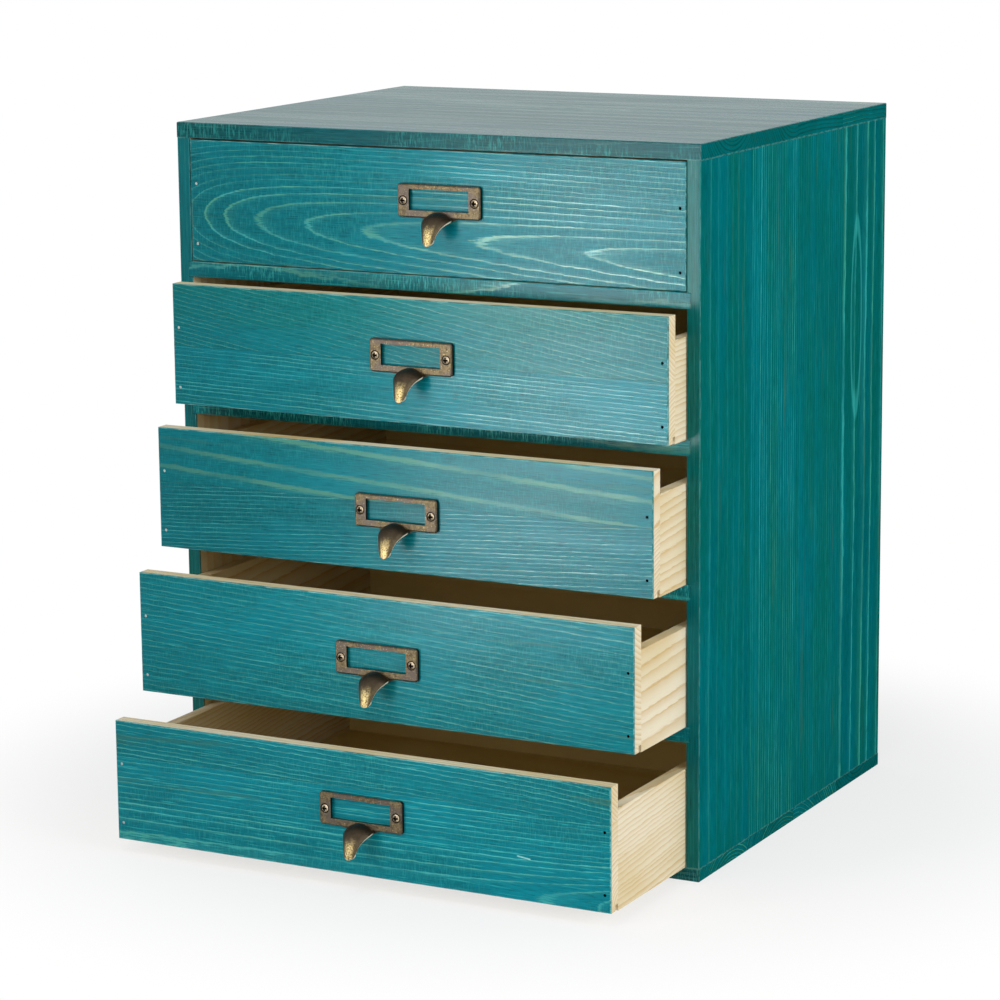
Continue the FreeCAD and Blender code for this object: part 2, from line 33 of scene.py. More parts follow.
# =============================================================================================
# Shader graph helper
# =============================================================================================
class Graph:
    """A node tree written as arithmetic, on numbers, colours and the output sockets of its nodes."""

    def __init__(self, tree):
        self.tree = tree

    def node(self, kind, **settings):
        made = self.tree.nodes.new(kind)
        for name, value in settings.items():
            setattr(made, name, value)
        return made

    def plug(self, socket, value):
        """Link an output socket to an input socket, or set a plain value on it."""
        if isinstance(value, bpy.types.NodeSocket):
            self.tree.links.new(value, socket)
        elif isinstance(value, (tuple, list, Vector)) and socket.type == "RGBA" and len(value) == 3:
            socket.default_value = (*value, 1.0)
        else:
            socket.default_value = value

    def math(self, operation, *values):
        made = self.node("ShaderNodeMath", operation=operation)
        for socket, value in zip(made.inputs, values):
            self.plug(socket, value)
        return made.outputs[0]

    def add(self, a, b):
        return self.math("ADD", a, b)

    def sub(self, a, b):
        return self.math("SUBTRACT", a, b)

    def mul(self, a, b):
        return self.math("MULTIPLY", a, b)

    def low(self, a, b):
        return self.math("MINIMUM", a, b)

    def high(self, a, b):
        return self.math("MAXIMUM", a, b)

    def step(self, value, start, end, low=0.0, high=1.0):
        """Smooth step from low at start to high at end."""
        made = self.node("ShaderNodeMapRange", interpolation_type="SMOOTHSTEP")
        for name, given in (("Value", value), ("From Min", start), ("From Max", end), ("To Min", low),
                            ("To Max", high)):
            self.plug(made.inputs[name], given)
        return made.outputs["Result"]

    def vector(self, x, y, z):
        made = self.node("ShaderNodeCombineXYZ")
        for socket, value in zip(made.inputs, (x, y, z)):
            self.plug(socket, value)
        return made.outputs[0]

    def split(self, vector):
        made = self.node("ShaderNodeSeparateXYZ")
        self.plug(made.inputs[0], vector)
        return made.outputs[0], made.outputs[1], made.outputs[2]

    def scaled(self, vector, x, y, z):
        """Vector times a factor on each axis."""
        made = self.node("ShaderNodeVectorMath", operation="MULTIPLY")
        self.plug(made.inputs[0], vector)
        made.inputs[1].default_value = (x, y, z)
        return made.outputs[0]

    def noise(self, vector, detail=2.0, roughness=0.5):
        """Noise from 0 to 1 with one cell per unit of the vector."""
        made = self.node("ShaderNodeTexNoise", noise_dimensions="3D")
        self.plug(made.inputs["Vector"], vector)
        self.plug(made.inputs["Scale"], 1.0)
        self.plug(made.inputs["Detail"], detail)
        self.plug(made.inputs["Roughness"], roughness)
        return made.outputs[0]

    def white(self, value, seed=0.0):
        """Random number from 0 to 1 for each value."""
        made = self.node("ShaderNodeTexWhiteNoise", noise_dimensions="2D")
        self.plug(made.inputs["Vector"], self.vector(value, seed, 0.0))
        return made.outputs["Value"]

    def mix(self, share, a, b):
        """Colour a where share is 0 and b where it is 1."""
        made = self.node("ShaderNodeMix", data_type="RGBA")
        self.plug(made.inputs[0], share)
        self.plug(made.inputs[6], a)
        self.plug(made.inputs[7], b)
        return made.outputs[2]

    def blend(self, share, a, b):
        """Number a where share is 0 and b where it is 1."""
        made = self.node("ShaderNodeMix", data_type="FLOAT")
        self.plug(made.inputs[0], share)
        self.plug(made.inputs[2], a)
        self.plug(made.inputs[3], b)
        return made.outputs[0]

    def brighten(self, color, tone):
        """Colour times the tone."""
        made = self.node("ShaderNodeHueSaturation")
        self.plug(made.inputs["Value"], tone)
        self.plug(made.inputs["Color"], color)
        return made.outputs[0]

    def background_rays(self):
        """1 for rays that show the background, straight, in gloss or through glass, and 0 for the others."""
        path = self.node("ShaderNodeLightPath")
        kinds = ("Is Camera Ray", "Is Glossy Ray", "Is Transmission Ray")
        camera, glossy, transmission = (path.outputs[kind] for kind in kinds)
        return self.high(camera, self.high(glossy, transmission))

    def bump(self, height, strength, distance):
        """Surface normal that follows the height, with the given strength and depth in metres."""
        made = self.node("ShaderNodeBump")
        self.plug(made.inputs["Height"], height)
        made.inputs["Strength"].default_value = strength
        made.inputs["Distance"].default_value = distance
        return made.outputs["Normal"]


def srgb(red, green, blue):
    """Linear colour of an sRGB colour given from 0 to 255."""
    shares = (value / 255.0 for value in (red, green, blue))
    return tuple(v / 12.92 if v <= 0.04045 else ((v + 0.055) / 1.055) ** 2.4 for v in shares)


def new_material(name):
    """An empty material with its graph, its Principled shader and the object's place in millimetres."""
    material = bpy.data.materials.new(name)
    material.use_nodes = True
    graph = Graph(material.node_tree)
    shader = material.node_tree.nodes["Principled BSDF"]
    place = graph.node("ShaderNodeTexCoord").outputs["Object"]
    return material, graph, shader, graph.scaled(place, MM, MM, MM)


# =============================================================================================
# Wood
# =============================================================================================
# Colours of the stain.
TEAL_DEEP = srgb(0, 101, 110)
TEAL_MID = srgb(0, 116, 129)
TEAL_LIGHT = srgb(4, 144, 154)
TEAL_LINE = srgb(62, 192, 188)
TEAL_GREEN = srgb(78, 172, 128)
TEAL_WORN = srgb(140, 200, 198)
STAIN_GREEN = srgb(6, 105, 97)
STAIN_BROWN = srgb(66, 100, 66)
STAIN_OLIVE = srgb(92, 142, 108)
STAIN_DARK = srgb(0, 52, 54)
# Colours of bare pine.
PINE_PALE = srgb(240, 230, 204)
PINE_MID = srgb(228, 212, 172)
PINE_LINE = srgb(208, 170, 100)
PINE_KNOT = srgb(160, 112, 60)
# Painted warm bounce light: the yellow that the pine inside the cabinet and the drawers is tinted with.
PINE_BOUNCE_TINT = srgb(234, 216, 156)

# Specular levels of bare pine and of the stain's film.
PINE_GLOSS = 0.2
FILM_GLOSS = 0.12
# What the film's gloss is multiplied by, and what a pale ring line adds to that.
FILM_SHARE = 0.92
LINE_SHARE = 2.8
# Strength and depth, in metres, of the grain's relief.
WOOD_BUMP = 0.12
WOOD_RELIEF = 0.0003
# Half the width of a glue line in millimetres, where it is full and where it has faded away.
GLUE_FULL = 0.05
GLUE_FADED = 0.3
# Far shifts in the noise, so that no two boards look alike, and no two laths of a board.
BOARD_SHIFT = 131.7
LATH_SHIFT = 311.0
# How far the rings stray over long stretches where wander is 1, in millimetres, and how much the fibres fray
# them, in rings.
BEND = 9.0
FRAY = 0.36
# Share of the saw marks that shows on faces that look up or down.
FLAT_SAW = 0.35
# Farther than any face of a board, in millimetres.
FAR = 1000.0


@dataclass
class Board:
    """Where a board's grain runs and how its growth rings lie, in millimetres.

    along, across and deep name the axes of the grain, of the broad face and of the thickness. The pith is the
    line that the rings go round.
    """

    along: str
    across: str
    deep: str
    # Where the pith passes, at the place along the grain that middle gives, and how much it shifts for each
    # millimetre along the grain.
    pith_across: float = 0.0
    pith_deep: float = 30.0
    slope_across: float = 0.0
    slope_deep: float = 0.0
    middle: float = 0.0
    # How far the pith sinks at the middle, and over what length that grows towards one end, ever faster, and
    # dies away towards the other.
    curl: float = 0.0
    curl_reach: float = 35.0
    # Width of a ring, how much the widths differ, and what share of a ring its pale line takes beyond the
    # usual one.
    ring: float = 2.6
    uneven: float = 1.4
    broad: float = 0.0
    # How far the rings stray over long and over short stretches.
    wander: float = 1.0
    wave: float = 1.1
    # How green the board is, and how olive its lines are.
    cast: float = 0.0
    olive: float = 0.0
    # Width of the laths that a wide panel is glued up from, or 0, where the first one starts, and how strong
    # the lines are in each. Rift laths have their pith beside them, so that their lines run straight.
    strip: float = 0.0
    strip_start: float = 0.0
    laths: tuple = ()
    rift: bool = False
    # Height of the glue line of a board made of two laths, and what differs in the lath above it.
    seam: float = None
    upper: dict = field(default_factory=dict)
    seed: float = 0.0


class Grain:
    """Places in a board's own directions, and the masks that both finishes are painted from."""

    def __init__(self, graph, place, board, box):
        self.graph = graph
        self.board = board
        axes = dict(zip(AXES, graph.split(place)))
        self.along = axes[board.along]
        self.across = axes[board.across]
        self.deep = axes[board.deep]
        self.lath = 0.0
        if board.strip:
            offset = graph.sub(self.across, board.strip_start)
            self.lath = graph.math("FLOOR", graph.math("DIVIDE", offset, board.strip))
        elif board.seam is not None:
            self.lath = graph.step(self.across, board.seam - GLUE_FULL, board.seam + GLUE_FULL)
        shift = board.seed * BOARD_SHIFT
        self.spot = graph.vector(graph.add(self.along, shift),
                                 graph.add(self.across, graph.mul(self.lath, LATH_SHIFT)),
                                 graph.add(self.deep, shift))
        self.tone = graph.white(self.lath, board.seed + 12.0)
        # Each pattern's cells per millimetre along, across and in depth, then its detail and its roughness.
        self.fibres = self.noise(0.10, 2.4, 2.4, 3.0, 0.62)
        self.streaks = self.noise(0.008, 0.14, 0.14, 3.0, 0.55)
        self.clouds = self.noise(0.012, 0.03, 0.03, 2.0, 0.5)
        self.drift = self.noise(0.006, 0.055, 0.055, 2.0, 0.6)
        self.saw = self.noise(1.5, 0.22, 0.22, 2.0, 0.6)
        self.strokes = self.noise(0.05, 1.25, 1.25, 1.0, 0.5)
        ends = face_distance(graph, place, box, ("-" + board.along, "+" + board.along))
        self.end = graph.step(ends, 0.3, 0.6, 1.0, 0.0)
        self.lengthwise = graph.sub(1.0, self.end)
        self.rings = self.count_rings()
        self.phase = graph.math("FRACT", self.rings)
        self.line = self.ring_line()

    def noise(self, along, across, deep, detail, roughness):
        """Noise with the given cells per millimetre along the grain, across the face and in depth."""
        return self.graph.noise(self.graph.scaled(self.spot, along, across, deep), detail, roughness)

    def setting(self, name):
        """A number of the board, which differs above the seam if the board has one."""
        below = getattr(self.board, name)
        if name not in self.board.upper:
            return below
        return self.graph.blend(self.lath, below, self.board.upper[name])

    def pith(self):
        """Where the pith passes, across and in depth, at each place along the grain."""
        graph = self.graph
        board = self.board
        local = graph.sub(self.along, board.middle)
        across = graph.add(self.setting("pith_across"), graph.mul(local, self.setting("slope_across")))
        deep = graph.add(self.setting("pith_deep"), graph.mul(local, self.setting("slope_deep")))
        if board.curl:
            fade = graph.math("EXPONENT", graph.math("DIVIDE", local, -board.curl_reach))
            deep = graph.add(deep, graph.mul(fade, board.curl))
        if board.strip:
            # Each lath has a pith of its own, at a chance place and on a chance side.
            middle = graph.add(graph.mul(graph.add(self.lath, 0.5), board.strip), board.strip_start)
            chance = graph.white(self.lath, board.seed + 1.0)
            drift = graph.mul(graph.sub(chance, 0.5), board.strip)
            if board.rift:
                aside = graph.math("SIGN", graph.sub(chance, 0.5))
                drift = graph.add(graph.mul(drift, 1.5), graph.mul(aside, board.strip * 1.1))
            across = graph.add(graph.add(middle, drift), graph.mul(local, board.slope_across))
            turned = graph.white(self.lath, board.seed + 2.0)
            deep = graph.mul(deep, graph.math("SIGN", graph.sub(turned, 0.5)))
        return across, deep

    def count_rings(self):
        """How many growth rings lie between the pith and each point."""
        graph = self.graph
        across, deep = self.pith()
        bend = graph.mul(graph.sub(self.noise(0.006, 0.02, 0.02, 1.0, 0.5), 0.5), BEND * self.board.wander)
        wave = graph.mul(graph.sub(self.noise(0.09, 0.16, 0.16, 2.0, 0.6), 0.5), self.board.wave)
        shake = graph.add(bend, wave)
        reach = graph.add(graph.sub(self.across, across), shake)
        drop = graph.add(graph.sub(self.deep, deep), graph.mul(shake, 0.5))
        radius = graph.math("SQRT", graph.add(graph.mul(reach, reach), graph.mul(drop, drop)))
        rings = graph.math("DIVIDE", radius, self.setting("ring"))
        uneven = graph.noise(graph.vector(graph.mul(rings, 0.6), self.lath, self.board.seed * 1.7), 1.0)
        fray = graph.mul(graph.sub(self.fibres, 0.5), FRAY)
        return graph.add(graph.add(rings, graph.mul(graph.sub(uneven, 0.5), self.board.uneven)), fray)

    def ring_line(self):
        """Thin pale line at the end of each ring, stronger or fainter from ring to ring and along its way."""
        graph = self.graph
        sharp = graph.step(graph.add(self.phase, self.setting("broad")), 0.8, 0.92)
        line = graph.mul(graph.high(sharp, graph.step(self.phase, 0.5, 0.85, 0.0, 0.18)),
                         graph.step(self.phase, 0.95, 1.0, 1.0, 0.0))
        ring = graph.step(graph.white(graph.math("FLOOR", self.rings), self.board.seed), 0.0, 0.8, 0.5, 1.0)
        patches = graph.step(self.noise(0.016, 0.06, 0.06, 2.0, 0.6), 0.34, 0.56, 0.45, 1.0)
        strength = graph.mul(graph.mul(line, ring), patches)
        if self.board.laths:
            strength = graph.mul(strength, self.lath_strength())
        elif self.board.strip:
            chance = graph.white(self.lath, self.board.seed + 3.0)
            strength = graph.mul(strength, graph.step(chance, 0.3, 0.8, 0.25, 1.0))
        return strength

    def lath_strength(self):
        """The strength given for the lath that each point lies in."""
        graph = self.graph
        strength = self.board.laths[0]
        for number, value in enumerate(self.board.laths[1:], start=1):
            strength = graph.blend(graph.step(self.lath, number - 0.6, number - 0.4), strength, value)
        return strength

    def glue_line(self):
        """Thin line where two laths meet."""
        graph = self.graph
        if self.board.seam is not None:
            distance = graph.math("ABSOLUTE", graph.sub(self.across, self.board.seam))
        elif self.board.strip:
            offset = graph.sub(self.across, self.board.strip_start)
            distance = graph.math("PINGPONG", offset, self.board.strip / 2)
            distance = graph.low(distance, graph.math("ABSOLUTE", graph.sub(offset, self.board.strip)))
        else:
            return 0.0
        return graph.step(distance, GLUE_FULL, GLUE_FADED, 1.0, 0.0)


def face_distance(graph, place, box, faces):
    """Distance in millimetres from the nearest of the named faces of a box, such as "-Y"."""
    axes = dict(zip(AXES, graph.split(place)))
    nearest = FAR
    for face in faces:
        plane = box[0 if face[0] == "-" else 1][AXES.index(face[1])] * MM
        nearest = graph.low(nearest, graph.math("ABSOLUTE", graph.sub(axes[face[1]], plane)))
    return nearest


def edge_distance(graph, place, box, skip=""):
    """Distance in millimetres along the surface from the nearest edge of a box; skip names hidden ends."""
    sides = [face_distance(graph, place, box, ("-" + axis, "+" + axis)) for axis in AXES if axis not in skip]
    if len(sides) == 2:
        return graph.high(*sides)
    a, b, c = sides
    return graph.high(graph.low(a, b), graph.low(graph.high(a, b), c))


def facing(graph, axis):
    """1 where a face looks along the named axis, either way, and 0 where it looks across it."""
    turned = dict(zip(AXES, graph.split(graph.node("ShaderNodeTexCoord").outputs["Normal"])))
    return graph.step(graph.math("ABSOLUTE", turned[axis]), 0.5, 0.9)


@dataclass
class Stain:
    """How the teal stain took on one board."""

    # Brightness, and if given, the painted light and shade of faces looking left or right, which have no
    # sheen.
    tone: float = 1.0
    sideways_light_tone: float = 0.0
    # How strong the ring lines, their green part, the saw marks, the fine strokes along the grain, the brown
    # streaks and the worn edges are.
    lines: float = 1.0
    green: float = 1.0
    saw: float = 0.3
    strokes: float = 0.4
    brown: float = 0.35
    wear: float = 0.3
    # Roughness of the film, and how many millimetres it soaked round the edges.
    rough: float = 0.155
    bleed: float = 1.2
    # Short scratches, as scratch_mask takes them.
    marks: tuple = ()


def scratch_mask(graph, grain, mark):
    """Mask of a short straight scratch: its middle along and across, its length, its width and its slope."""
    along, across, length, width, slope = mark
    dx = graph.sub(grain.along, along)
    dy = graph.sub(graph.sub(grain.across, across), graph.mul(dx, slope))
    inside = graph.step(graph.math("ABSOLUTE", dx), length * 0.4, length * 0.5, 1.0, 0.0)
    return graph.mul(inside, graph.step(graph.math("ABSOLUTE", dy), width * 0.3, width * 0.5, 1.0, 0.0))


def eye_mask(graph, grain, eye):
    """Mask of a long closed ring that the saw just touched: middle, half length and half width."""
    along, across, half_length, half_width = eye
    frayed = graph.add(graph.sub(grain.across, across), graph.mul(grain.fibres, 0.5))
    u = graph.math("DIVIDE", graph.sub(grain.along, along), half_length)
    v = graph.math("DIVIDE", frayed, half_width)
    radius = graph.math("SQRT", graph.add(graph.mul(u, u), graph.mul(v, v)))
    ring = graph.mul(graph.step(radius, 0.74, 0.88), graph.step(radius, 0.94, 1.04, 1.0, 0.0))
    filled = graph.mul(graph.step(u, -0.65, -0.85), graph.step(radius, 0.9, 1.04, 1.0, 0.0))
    return graph.high(ring, filled)


def stain_coat(graph, grain, stain):
    """Colour of the stain before its lines: clouds, streaks, green cast, fibres, strokes and saw marks."""
    body = graph.mix(graph.step(grain.clouds, 0.32, 0.68), TEAL_DEEP, TEAL_MID)
    body = graph.mix(graph.mul(graph.step(grain.streaks, 0.5, 0.8), 0.35), body, TEAL_LIGHT)
    cast = graph.mul(grain.setting("cast"), graph.step(grain.drift, 0.38, 0.62, 0.5, 1.6))
    body = graph.mix(cast, body, STAIN_GREEN)
    body = graph.mix(graph.mul(graph.step(grain.phase, 0.1, 0.7), 0.2), body, TEAL_DEEP)
    body = graph.mix(graph.mul(graph.step(grain.fibres, 0.5, 0.78), 0.4), body, TEAL_LIGHT)
    body = graph.mix(graph.mul(graph.step(grain.fibres, 0.5, 0.25), 0.6), body, STAIN_DARK)
    strokes = graph.mul(graph.step(grain.strokes, 0.62, 0.76), graph.mul(grain.lengthwise, stain.strokes))
    body = graph.mix(strokes, body, TEAL_LINE)
    sawn = graph.mul(graph.step(grain.saw, 0.45, 0.72), graph.step(grain.clouds, 0.62, 0.4))
    saw = graph.blend(facing(graph, "Z"), stain.saw, FLAT_SAW * stain.saw)
    return graph.mix(graph.mul(sawn, graph.mul(grain.lengthwise, saw)), body, TEAL_LINE)


def draw_rings(graph, grain, stain, body):
    """Body with dark arcs on the board's ends, pale ring lines, brown streaks along them and glue lines."""
    body = graph.mix(graph.mul(grain.end, 0.35), body, STAIN_GREEN)
    body = graph.mix(graph.mul(grain.end, graph.step(grain.phase, 0.45, 0.85, 0.0, 0.6)), body, STAIN_DARK)
    pale = graph.mix(graph.step(grain.streaks, 0.42, 0.62, 1.0 - stain.green, 1.0), TEAL_GREEN, TEAL_LINE)
    pale = graph.mix(grain.setting("olive"), pale, STAIN_OLIVE)
    body = graph.mix(graph.mul(grain.line, 0.85 * stain.lines), body, pale)
    brown = graph.mul(graph.step(grain.streaks, 0.36, 0.26), stain.brown)
    body = graph.mix(graph.mul(brown, graph.step(grain.line, 0.0, 0.4, 0.5, 1.0)), body, STAIN_BROWN)
    return graph.mix(graph.mul(grain.glue_line(), 0.35), body, STAIN_DARK)


def wear_edges(graph, grain, edge, stain, body):
    """Body rubbed pale in places along the edges of the board."""
    worn = graph.mul(graph.step(graph.add(edge, graph.mul(grain.fibres, 1.4)), 1.35, 0.8), stain.wear)
    worn = graph.mul(worn, graph.step(grain.noise(0.12, 0.3, 0.3, 2.0, 0.6), 0.4, 0.58, 0.2, 1.3))
    return graph.mix(worn, body, TEAL_WORN)


def stained_finish(graph, grain, edge, stain, eye):
    """Colour, roughness and height of the teal stain; edge is the distance from the nearest edge."""
    body = draw_rings(graph, grain, stain, stain_coat(graph, grain, stain))
    if eye:
        body = graph.mix(graph.mul(eye_mask(graph, grain, eye), 0.42), body, TEAL_LINE)
    for mark in stain.marks:
        body = graph.mix(graph.mul(scratch_mask(graph, grain, mark), 0.8), body, TEAL_WORN)
    body = wear_edges(graph, grain, edge, stain, body)
    # Faces looking left or right take their own brightness: painted light and shade for how the light falls.
    tone = stain.tone
    if stain.sideways_light_tone:
        tone = graph.blend(facing(graph, "X"), stain.tone, stain.sideways_light_tone)
    tone = graph.mul(tone, graph.step(grain.tone, 0.0, 1.0, 0.9, 1.08))
    rough = graph.sub(graph.add(stain.rough, graph.mul(grain.fibres, 0.1)), graph.mul(grain.line, 0.03))
    rough = graph.add(rough, graph.step(grain.streaks, 0.6, 0.4, 0.0, 0.04))
    height = graph.add(graph.mul(grain.fibres, 0.6), graph.mul(grain.line, 0.4))
    return graph.brighten(body, tone), rough, height


def bare_finish(graph, grain, tone, bounce_tint):
    """Colour, roughness and height of bare pine."""
    body = graph.mix(graph.step(grain.clouds, 0.3, 0.7), PINE_MID, PINE_PALE)
    body = graph.mix(graph.mul(graph.step(grain.phase, 0.2, 0.92), 0.35), body, PINE_LINE)
    body = graph.mix(graph.mul(grain.line, 0.6), body, PINE_LINE)
    body = graph.mix(graph.mul(graph.step(grain.fibres, 0.5, 0.25), 0.2), body, PINE_LINE)
    body = graph.mix(graph.mul(graph.step(grain.streaks, 0.3, 0.2), 0.3), body, PINE_KNOT)
    # Painted warm bounce light, as far as bounce_tint gives.
    body = graph.mix(bounce_tint, body, PINE_BOUNCE_TINT)
    rough = graph.add(0.6, graph.mul(grain.fibres, 0.2))
    height = graph.add(graph.mul(grain.fibres, 0.6), graph.mul(grain.line, 0.3))
    return graph.brighten(body, tone), rough, height


def make_wood(name, box, board, faces=(), stain=None, bare_tone=0.95, bounce_tint=0.0, skip="", eye=None):
    """Wood of one board: stained on the named faces of its box, bare pine on the others.

    bare_tone is the pine's brightness, bounce_tint how far it is tinted with painted warm bounce light, skip
    is the axis of ends that are hidden, and eye is the closed ring that eye_mask draws.
    """
    material, graph, shader, place = new_material(name)
    grain = Grain(graph, place, board, box)
    color, rough, height = bare_finish(graph, grain, bare_tone, bounce_tint)
    gloss = PINE_GLOSS
    if faces:
        edge = edge_distance(graph, place, box, skip)
        teal, teal_rough, teal_height = stained_finish(graph, grain, edge, stain, eye)
        bleed = graph.add(face_distance(graph, place, box, faces), graph.mul(grain.fibres, 1.6))
        share = graph.step(bleed, stain.bleed, stain.bleed + 0.8, 1.0, 0.0)
        color = graph.mix(share, color, teal)
        rough = graph.blend(share, rough, teal_rough)
        height = graph.blend(share, height, teal_height)
        line_gloss = graph.mul(grain.line, graph.blend(grain.setting("olive"), LINE_SHARE, 0.0))
        film_gloss = graph.mul(graph.add(FILM_SHARE, line_gloss), FILM_GLOSS)
        # Faces looking left or right, with their painted light and shade, have no sheen.
        if stain.sideways_light_tone:
            film_gloss = graph.mul(film_gloss, graph.sub(1.0, facing(graph, "X")))
        gloss = graph.blend(share, PINE_GLOSS, film_gloss)
    graph.plug(shader.inputs["Specular IOR Level"], gloss)
    graph.plug(shader.inputs["Base Color"], color)
    graph.plug(shader.inputs["Roughness"], rough)
    graph.plug(shader.inputs["Normal"], graph.bump(height, WOOD_BUMP, WOOD_RELIEF))
    return material


def dress(node, material):
    """Give a CAD node its material."""
    slot_shade = NODES[node].data.materials
    slot_shade.clear()
    slot_shade.append(material)


# The stained faces of the cabinet's outer boards.
OUTSIDE = {
    "top_board": ("+Z", "-Y", "+Y", "-X", "+X"),
    "bottom_board": ("-Z", "-Y", "+Y", "-X", "+X"),
    "left_side_panel": ("-X", "-Y", "+Y"),
    "right_side_panel": ("+X", "-Y", "+Y"),
    "back_panel": ("+Y",),
}
# How strong the ring lines are in each of the laths of a side panel, from the front.
SIDE_LATHS = (0.3, 0.8, 0.35, 0.9)
# Painted light and shade: the side panels' front and back edges lighter, their outer faces darker.
SIDE_STAIN = Stain(tone=1.1, sideways_light_tone=0.86, lines=0.9, green=0.5, saw=0.0, strokes=0.15, brown=0.5, wear=0.15,
                   rough=0.16)
# The closed ring on the right side panel: its height, its depth, half its length and half its width.
SIDE_EYE = (260.0, 81.0, 56.0, 8.0)
# Width of the laths in the top and bottom boards.
FLAT_LATH = 60.0
# Painted shade: the top and bottom boards darkened on their broad faces and long edges, less on their ends.
FLAT_STAIN = Stain(tone=0.63, sideways_light_tone=0.82, saw=1.0, wear=0.2, rough=0.22)
BACK_STAIN = Stain(lines=0.5, saw=0.1)
DIVIDER_STAIN = Stain(lines=0.5, saw=0.9)
# How far the dividers' bare pine is tinted with painted warm bounce light.
DIVIDER_BOUNCE_TINT = 0.6


def side_panel_board(box, outer, seed):
    """Upright laths of one width; outer is the place of the panel's outer face."""
    width = (box[1].y - box[0].y) * MM / len(SIDE_LATHS)
    return Board("Z", "Y", "X", strip=width, strip_start=box[0].y * MM, laths=SIDE_LATHS, rift=True,
                 pith_deep=outer * MM + 30.0, middle=190.0, ring=2.6, wander=0.3, wave=0.5, cast=0.62,
                 seed=seed)


def dress_carcass():
    """Give the outer boards and the dividers their wood."""
    for number, (node, faces) in enumerate(OUTSIDE.items(), start=1):
        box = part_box(node)
        if node.endswith("side_panel"):
            outer = box[0].x if node.startswith("left") else box[1].x
            board, stain = side_panel_board(box, outer, 20.0 + number), SIDE_STAIN
        elif node == "back_panel":
            board = Board("Z", "X", "Y", pith_across=30.0, pith_deep=60.0, ring=3.4, seed=40.0)
            stain = BACK_STAIN
        else:
            board = Board("X", "Y", "Z", strip=FLAT_LATH, strip_start=box[0].y * MM,
                          pith_deep=box[0].z * MM + 26.0, ring=2.1, wander=0.6, cast=0.3, seed=30.0 + number)
            stain = FLAT_STAIN
        eye = SIDE_EYE if node == "right_side_panel" else None
        dress(node, make_wood(node, box, board, faces, stain, eye=eye))
    for number in DRAWERS[:-1]:
        node = f"divider_{number}"
        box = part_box(node)
        board = Board("X", "Y", "Z", pith_deep=box[1].z * MM + 25.0, ring=2.4, cast=0.1, seed=50.0 + number)
        dress(node, make_wood(node, box, board, ("-Y",), DIVIDER_STAIN, bounce_tint=DIVIDER_BOUNCE_TINT, skip="X"))


# How the rings lie in each drawer's front, from the top drawer down, as a Board takes them. Heights are above
# the front's lower edge, depths behind its face and lengths from the cabinet's middle.
FRONT_FIGURES = {
    1: {"pith_across": 25.0, "pith_deep": 22.2, "slope_across": -0.04, "slope_deep": -0.034, "curl": 8.5,
        "middle": -142.0, "ring": 2.4, "wander": 0.2},
    2: {"pith_across": -70.0, "pith_deep": 35.0, "slope_across": -0.03, "ring": 2.1, "wander": 0.35,
        "seam": 31.0, "upper": {"pith_across": 150.0, "pith_deep": 60.0, "slope_across": -0.16, "ring": 2.0,
                                "cast": 0.35, "olive": 0.6}},
    3: {"pith_across": -60.0, "pith_deep": 25.0, "slope_across": 0.06, "ring": 2.0, "wander": 0.35,
        "seam": 35.0, "upper": {"pith_across": -20.0, "pith_deep": 30.0, "slope_across": -0.07, "ring": 10.5,
                                "cast": 0.1, "olive": 0.9, "broad": 0.08}},
    4: {"pith_across": 130.0, "pith_deep": 40.0, "slope_across": -0.06, "ring": 2.5, "wander": 0.4,
        "cast": 0.05, "olive": 0.3},
    5: {"pith_across": 2.0, "pith_deep": 16.0, "curl": -0.5, "curl_reach": -35.0, "middle": 58.0, "ring": 2.4,
        "wander": 0.3, "olive": 0.2, "seam": 45.0,
        "upper": {"pith_across": 130.0, "pith_deep": 60.0, "slope_across": -0.03, "ring": 2.0, "cast": 0.05}},
}
# How the stain took on each front. The scratch on the lowest has its height above the front's lower edge.
FRONT_STAINS = {
    1: Stain(tone=1.06, lines=0.62, green=0.8, saw=0.14, strokes=0.1, bleed=3.5, wear=0.45),
    2: Stain(tone=1.0, lines=0.6, green=0.3, saw=0.09, strokes=0.1, wear=0.45),
    3: Stain(tone=1.0, lines=0.65, green=0.2, saw=0.1, brown=0.4, strokes=0.1, wear=0.45),
    4: Stain(tone=1.12, lines=0.62, green=0.5, saw=0.12, brown=0.5, strokes=0.2, wear=0.45),
    5: Stain(tone=1.24, lines=0.8, green=0.4, saw=0.12, brown=0.6, strokes=0.3, wear=0.45,
             marks=((95.0, 22.0, 8.0, 0.9, -0.12),)),
}
# Ring width of each drawer's side boards, from the top drawer down.
SIDE_RINGS = (2.6, 2.4, 4.2, 6.5, 2.2)
# Painted light and warm bounce light on the pine at a drawer's back and bottom: brighter and yellower.
INSIDE_LIGHT_TONE = 1.18
INSIDE_BOUNCE_TINT = 0.65


def dress_front(number):
    """Give a drawer's front its wood, with the figure and the scratches laid out from its own corner."""
    node = f"drawer_{number}_front"
    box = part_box(node)
    base = box[0].z * MM
    face = box[0].y * MM
    figure = dict(FRONT_FIGURES[number])
    figure["pith_across"] += base
    figure["pith_deep"] += face
    if "seam" in figure:
        figure["seam"] += base
        upper = figure["upper"]
        figure["upper"] = {**upper, "pith_across": upper["pith_across"] + base,
                           "pith_deep": upper["pith_deep"] + face}
    board = Board("X", "Z", "Y", uneven=0.9, seed=number * 3.0, **figure)
    stain = FRONT_STAINS[number]
    marks = tuple((along, across + base, *rest) for along, across, *rest in stain.marks)
    dress(node, make_wood(node, box, board, ("-Y",), replace(stain, marks=marks)))


